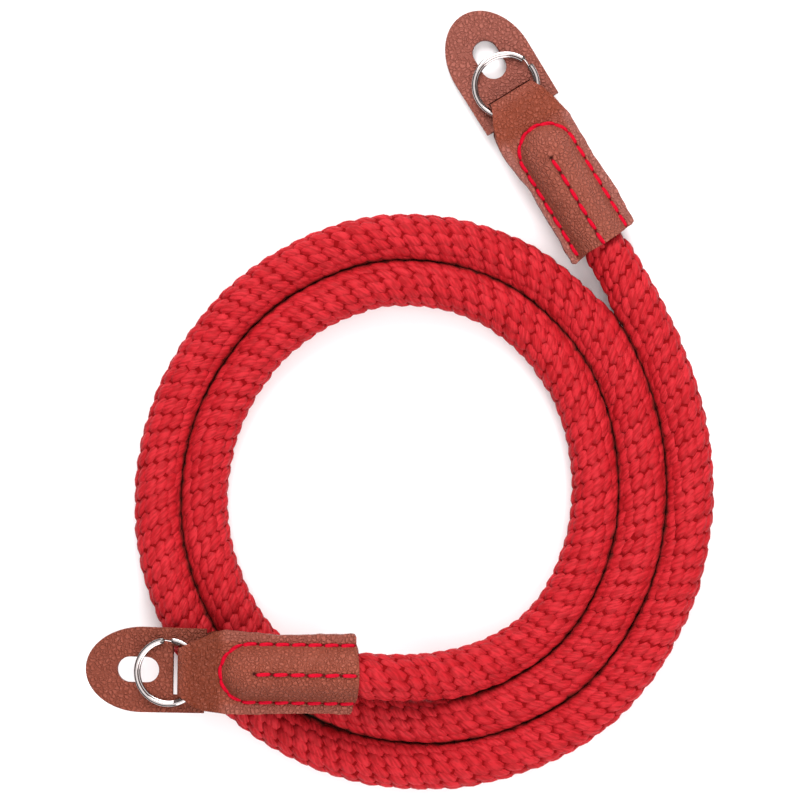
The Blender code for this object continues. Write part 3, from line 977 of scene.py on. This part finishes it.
def sleeve_looks(end, x, y):
    """How folded the leather is at this place, and how strong the painted pale sheen and the
    painted shade on it are.
    """
    neck_end = -SLEEVE_LENGTH + NECK_PAST_DOME
    folded = fade_in(x, FOLD_X, NECK_FADE["fold"]) * smooth_step((neck_end - x) / NECK_FADE["dome"])
    flap_sheen = fade_in(abs(y), THREAD_LINE, FLAP_FADE["across"])
    flap_sheen *= fade_in(x, FLAP_START_X, FLAP_FADE["along"])
    flank_shade = fade_in(-y, 0.0, FLANK_FADE["start"]) * (1 - fade_in(-y, FLANK_END, FLANK_FADE["end"]))
    flank_shade *= fade_in(x, FLAP_START_X, FLANK_FADE["along"])
    # The neck's darkening and the flank's are painted shade
    return {
        "neck_folds": folded * NECK_FOLDING[end],
        "painted_sheen": max(flap_sheen * FLAP_PALENESS[end], (1 - folded) * DOME_PALENESS[end]),
        "darker_tone_and_shade": SLEEVE_DARKENING[end] * max(NECK_DARKNESS * folded, flank_shade),
    }


def make_sleeve(end):
    """A leather strip, folded in two, pressed down along its seams and pierced by the needle."""
    deselect()
    along, across = STRIP_DIVISIONS
    bpy.ops.mesh.primitive_grid_add(x_subdivisions=along, y_subdivisions=across, size=1.0)
    sleeve = bpy.context.object
    flat = sleeve.data.attributes.new("strip_place", "FLOAT_VECTOR", "POINT")
    for vertex in sleeve.data.vertices:
        run, share = (vertex.co.x + 0.5) * sum(STRIP_SPANS), -2 * vertex.co.y
        vertex.co, side = strip_point(end, run, share)
        flat.data[vertex.index].vector = (vertex.co.x, vertex.co.y, side)

    wall = sleeve.modifiers.new("wall", "SOLIDIFY")
    wall.thickness = LEATHER
    wall.offset = 0.0
    wall.use_even_offset = True
    wall.material_offset_rim = 1
    apply_modifier(sleeve, "wall")
    sleeve.data.materials.append(LEATHER_FACE)
    sleeve.data.materials.append(LEATHER_EDGE)

    holes = stitch_holes(end)
    places = [tuple(item.vector) for item in sleeve.data.attributes["strip_place"].data]
    looks = []
    for vertex, (x, y, side) in zip(sleeve.data.vertices, places):
        looks.append({**sleeve_looks(end, x, y), "needle_shade": 0.0})
        if side == 0.0 or (vertex.co.z - layer_height(x, y, side)) * side < 0.0:
            continue
        round_far, middle_far = seam_distance(end, x, y)
        press = SEAM_PRESS * bell(round_far, SEAM_PRESS_WIDTH["round"])
        press += SEAM_PRESS * bell(middle_far, SEAM_PRESS_WIDTH["middle"])
        pierced = max(
            opening * bell(math.hypot(x - near, y - aside), NEEDLE_RADIUS)
            for near, aside, opening in holes
        )
        vertex.co.z -= side * (press + NEEDLE_DEPTH * pierced)
        # Painted shade along the seams and in the needle's holes
        groove_shade = SEAM_SHADE * bell(min(round_far, middle_far), SEAM_SHADE_WIDTH)
        looks[-1]["needle_shade"] = min(1.0, pierced) + groove_shade
    for name in looks[0]:
        store(sleeve.data, name, [look[name] for look in looks])

    rim = sleeve.modifiers.new("rim", "BEVEL")
    rim.limit_method = "ANGLE"
    rim.angle_limit = RIM_ANGLE
    rim.width = RIM_ROUNDING
    rim.segments = 2
    apply_modifier(sleeve, "rim")
    sleeve.data.shade_smooth()
    place(sleeve, end_matrix(end), f"leather_sleeve_{end}")
    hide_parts(f"sleeve_{end}")


# Stitches


def stitch_pattern():
    """One stitch of two plies twisted together, lying along X with its middle at the origin:
    its corners and its faces."""
    corners, faces = [], []
    for side in (1, -1):
        faces += tube_faces(STITCH_STATIONS + 1, PLY_SIDES, len(corners))
        for station in range(STITCH_STATIONS + 1):
            reach = 2 * station / STITCH_STATIONS - 1
            twist = STITCH_TWIST / 2 * reach
            slim = 1.0 - STITCH_SLIMMING * fade_in(abs(reach), *STITCH_SLIM_ENDS)
            for index in range(PLY_SIDES):
                turn = 2 * math.pi * index / PLY_SIDES
                y, z = side * PLY_OFFSET + PLY_RADIUS * math.cos(turn), PLY_RADIUS * math.sin(turn)
                corners.append(Vector((
                    reach * STITCH_LENGTH / 2,
                    (y * math.cos(twist) - z * math.sin(twist)) * slim,
                    (y * math.sin(twist) + z * math.cos(twist)) * STITCH_FLATTENING * slim
                    - STITCH_SINKING * reach**6,
                )))
    return corners, faces


def stitch_rows(end):
    """Every stitch of one face: the seam it belongs to, where its middle is, and its stretch."""
    rows = []
    joints = seam_joints()
    for first, last in zip(joints, joints[1:]):
        middle = (first + last) / 2
        kind = seam_part(middle)
        rows.append((kind, middle, (last - first) * STITCH_STRETCH[kind] / STITCH_LENGTH))
    for index in range(CENTRE_STITCHES):
        middle = CENTRE_PITCH * (index + 0.5) - CENTRE_SEAM_SHIFT[end]
        rows.append(("centre", middle, CENTRE_PITCH * STITCH_STRETCH["centre"] / STITCH_LENGTH))
    return rows


def stitch_corner(end, kind, run, aside, lift, side):
    """Where a corner of a stitch lies on one face of the sleeve, beside and above its seam."""
    if kind == "centre":
        x, y = -run, CENTRE_SEAM_Y[end] - aside
        surface = layer_height(x, y, side) + side * LEATHER / 2
    else:
        (x, y), heading = seam_point(min(max(run, 0.0), SEAM_RUN))
        x, y = x - math.sin(heading) * aside, y + math.cos(heading) * aside
        rise = (LEATHER + LAYER_GAP) / 2 + LEATHER / 2 + ROUND_SEAM_LIFT
        surface = SLEEVE_AXIS_HEIGHT + side * rise
    return x, y, max(surface + side * (lift + STITCH_LIFT), THREAD_FLOOR_GAP)


def make_seams(end):
    """The thread of both seams on both faces of a sleeve, joined into one piece."""
    corners, outline = stitch_pattern()
    rows = stitch_rows(end)
    vertices, faces, sunk_shade = [], [], []
    for side in (1, -1):
        for kind, middle, longer in rows:
            slant = STITCH_SLANT + rng.normal(0, STITCH_UNEVENNESS)
            stout = STITCH_STOUTNESS[kind]
            start = len(vertices)
            for corner in corners:
                share = abs(corner.x) / (STITCH_LENGTH / 2)
                # Painted shade at each stitch's sunk ends, none round the bend
                sunk_shade.append(0.0 if kind == "bend" else fade_in(share, *STITCH_SUNK_ENDS))
                run = middle + corner.x * longer
                aside = corner.y * stout + slant * corner.x / (STITCH_LENGTH / 2)
                vertices.append(stitch_corner(end, kind, run, aside, corner.z * stout, side))
            faces += [tuple(start + index for index in face[::side]) for face in outline]
    mesh = bpy.data.meshes.new("seam")
    mesh.from_pydata(vertices, [], faces)
    store(mesh, "thread_sunk_shade", sunk_shade)
    mesh.materials.append(THREAD)
    mesh.shade_smooth()
    seams = add_object("seam", mesh)
    face_outward(seams)
    place(seams, end_matrix(end), f"seam_thread_{end}")


# Guards


def flat_piece(outlines, thickness, rounding):
    """A flat piece with holes and rounded edges, lying on z = 0, from closed outlines."""
    curve = bpy.data.curves.new("outline", "CURVE")
    curve.dimensions = "2D"
    curve.fill_mode = "BOTH"
    curve.extrude = thickness / 2 - rounding
    curve.bevel_depth = rounding
    curve.bevel_resolution = 1
    curve.offset = -rounding
    for outline in outlines:
        draw_line(curve, [(x, y, 0.0) for x, y in outline], closed=True)
    pick(add_object("outline", curve))
    bpy.ops.object.convert(target="MESH")
    piece = bpy.context.object
    piece.data.transform(Matrix.Translation((0.0, 0.0, thickness / 2)))
    return piece


def guard_outlines(end):
    """The plate, its long hole and the slot for the sleeve's fold, from the round tip at zero."""
    side = []
    for index in range(1, NOSE_STEPS + 1):
        turn = math.pi / 2 * index / NOSE_STEPS
        side.append((GUARD_NOSE_LENGTH * (1 - math.cos(turn)), GUARD_HALF_WIDTH * math.sin(turn)))
    for index in range(1, SIDE_STEPS + 1):
        share = index / SIDE_STEPS
        x = blend(GUARD_NOSE_LENGTH, GUARD_LENGTH, share)
        side.append((x, blend(GUARD_HALF_WIDTH, GUARD_CUT_HALF_WIDTH, share)))
    plate = [(0.0, 0.0), *side, *((x, -y) for x, y in reversed(side))]
    left_end, right_end = GUARD_END[end]
    for index, (x, y) in enumerate(plate):
        drift = fade_in(x, GUARD_NOSE_LENGTH, GUARD_LENGTH - GUARD_NOSE_LENGTH) ** 3
        plate[index] = (x + drift * (left_end if y > 0 else right_end), y)
    hole = []
    for centre, first in (
        (HOLE_SPAN[1] - HOLE_HALF, -math.pi / 2),
        (HOLE_SPAN[0] + HOLE_HALF, math.pi / 2),
    ):
        for index in range(HOLE_STEPS + 1):
            turn = first + math.pi * index / HOLE_STEPS
            hole.append((centre + HOLE_HALF * math.cos(turn), HOLE_HALF * math.sin(turn)))
    near, far = SLOT_SPAN[end]
    slot = [(near, -SLOT_HALF), (far, -SLOT_HALF), (far, SLOT_HALF), (near, SLOT_HALF)]
    return [plate, hole, slot]


def make_guard(end):
    guard = flat_piece(guard_outlines(end), LEATHER, GUARD_RIM_ROUNDING)
    for face in guard.data.polygons:
        face.material_index = 1 if abs(face.normal.z) < GUARD_CUT_SLOPE else 0
    guard.data.materials.clear()
    guard.data.materials.append(LEATHER_FACE)
    guard.data.materials.append(LEATHER_EDGE)
    count = len(guard.data.vertices)
    # An even painted pale sheen over the whole guard
    store(guard.data, "painted_sheen", [GUARD_PALENESS[end]] * count)
    # An even darker tone over the whole guard
    store(guard.data, "darker_tone_and_shade", [GUARD_DARKENING[end]] * count)
    place(guard, end_matrix(end) @ guard_tilt(GUARD_TIP_X, 0.0, 0.0), f"leather_guard_{end}")
    pick(guard)
    bpy.ops.object.shade_smooth_by_angle(angle=GUARD_SMOOTH_ANGLE)
    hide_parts(f"guard_{end}")


# Split rings


def wire_profile():
    """The flat wire's section: an oval, a little squarer than an ellipse."""
    section = bpy.data.curves.new("wire_section", "CURVE")
    section.dimensions = "2D"
    outline = []
    for index in range(WIRE_SIDES):
        turn = 2 * math.pi * index / WIRE_SIDES
        x, y = (
            math.copysign(abs(reach) ** WIRE_SQUARENESS, reach)
            for reach in (math.cos(turn), math.sin(turn))
        )
        outline.append((x * RING_WIRE_WIDTH / 2, y * RING_WIRE_HEIGHT / 2, 0.0))
    draw_line(section, outline, closed=True)
    return add_object("wire_section", section)


def make_ring(end):
    """Flat wire swept two turns round: one low, one above it, with a short step between them."""
    profile = wire_profile()
    path = bpy.data.curves.new("wire", "CURVE")
    path.dimensions = "3D"
    path.twist_mode = "Z_UP"
    path.bevel_mode = "OBJECT"
    path.bevel_object = profile
    path.use_fill_caps = True
    low_run = 2 * math.pi - RING_STEP
    total = 2 * low_run + RING_STEP
    points, widths = [], []
    for index in range(RING_STATIONS + 1):
        run = total * index / RING_STATIONS
        angle = RING_STEP_TURN[end] + RING_STEP / 2 + run
        climb = fade_in(run, low_run, RING_STEP)
        lift = RING_WIRE_HEIGHT / 2 + (RING_WIRE_HEIGHT + RING_TURN_GAP) * climb
        shift = blend(RING_RADIUS_SHIFT["low"], RING_RADIUS_SHIFT["high"], climb)
        radius = RING_MIDDLE_RADIUS + shift
        points.append((radius * math.cos(angle), radius * math.sin(angle), lift))
        near_step = math.exp(-(((run - low_run) / RING_STEP - 0.5) / RING_SLIM_SPREAD) ** 12)
        widths.append(1.0 - RING_STEP_SLIMMING * near_step)
    wire = draw_line(path, points)
    wire.points.foreach_set("radius", widths)
    pick(add_object("wire", path))
    bpy.ops.object.convert(target="MESH")
    ring = bpy.context.object
    bpy.data.objects.remove(profile)
    ring.data.materials.clear()
    ring.data.materials.append(NICKEL)
    # Painted shade on the upper turn next to both cuts
    cut_shading = []
    for vertex in ring.data.vertices:
        turned = math.atan2(vertex.co.y, vertex.co.x) - RING_STEP_TURN[end]
        cut = min(abs(turned - RING_STEP / 2), abs(turned + RING_STEP / 2))
        high = vertex.co.z > RING_WIRE_HEIGHT
        cut_shading.append(high * math.exp(-((cut / RING_CUT_SHADE) ** 4)))
    store(ring.data, "cut_painted_shade", cut_shading)
    centre_x, centre_y = RING_CENTRE[end]
    above = (LEATHER + FIT_GAP) / math.cos(GUARD_TILT)
    rise = (centre_x - GUARD_TIP_X) * math.tan(GUARD_TILT) + above
    place(ring, end_matrix(end) @ guard_tilt(centre_x, centre_y, rise), f"ring_wire_{end}")
    face_outward(ring, MERGE_DISTANCE)
    bpy.ops.object.shade_smooth_by_angle(angle=RING_SMOOTH_ANGLE)
    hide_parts(f"split_ring_{end}")


for end in ENDS:
    make_sleeve(end)
    make_seams(end)
    make_guard(end)
    make_ring(end)

# Floor and light


def make_floor():
    deselect()
    bpy.ops.mesh.primitive_plane_add(size=FLOOR_SIZE, location=(0.0, 0.0, FLOOR_Z))
    floor = bpy.context.object
    floor.name = "floor"
    made, _, shader = new_material("pale_floor", 1.0, specular=0.0)
    shader.inputs["Base Color"].default_value = FLOOR_COLOUR
    floor.data.materials.append(made)


def make_light(name, location, size, power):
    light = bpy.data.lights.new(name, "AREA")
    light.size = size
    light.energy = power
    lamp = add_object(name, light)
    lamp.location = location
    lamp.rotation_euler = (-Vector(location)).to_track_quat("-Z", "Y").to_euler()


def make_sky():
    """Soft light from all round: bright low down and overhead, dim between them."""
    world = bpy.data.worlds.new("studio")
    bpy.context.scene.world = world
    world.use_nodes = True
    tree = world.node_tree
    direction = tree.nodes.new("ShaderNodeTexCoord").outputs["Generated"]
    split = add_node(tree, "ShaderNodeSeparateXYZ", [("Vector", direction)])
    ramp = add_node(tree, "ShaderNodeValToRGB", [("Fac", split.outputs["Z"])])
    stops = ramp.color_ramp.elements
    stops[0].position, stops[0].color = 0.0, SKY_NADIR
    stops[1].position, stops[1].color = 1.0, SKY_ZENITH
    for position, value in SKY_BANDS:
        stops.new(position).color = (value, value * 0.99, value * 0.985, 1)
    background = tree.nodes["Background"]
    tree.links.new(ramp.outputs["Color"], background.inputs["Color"])
    background.inputs["Strength"].default_value = 1.0


make_floor()
make_light("window", (-0.10, 0.85, 0.70), 0.80, 18.0)
make_light("fill", (0.35, -0.75, 0.75), 1.00, 14.0)
make_sky()
bpy.context.scene.view_settings.view_transform = "Standard"
bpy.context.scene.view_settings.look = "None"
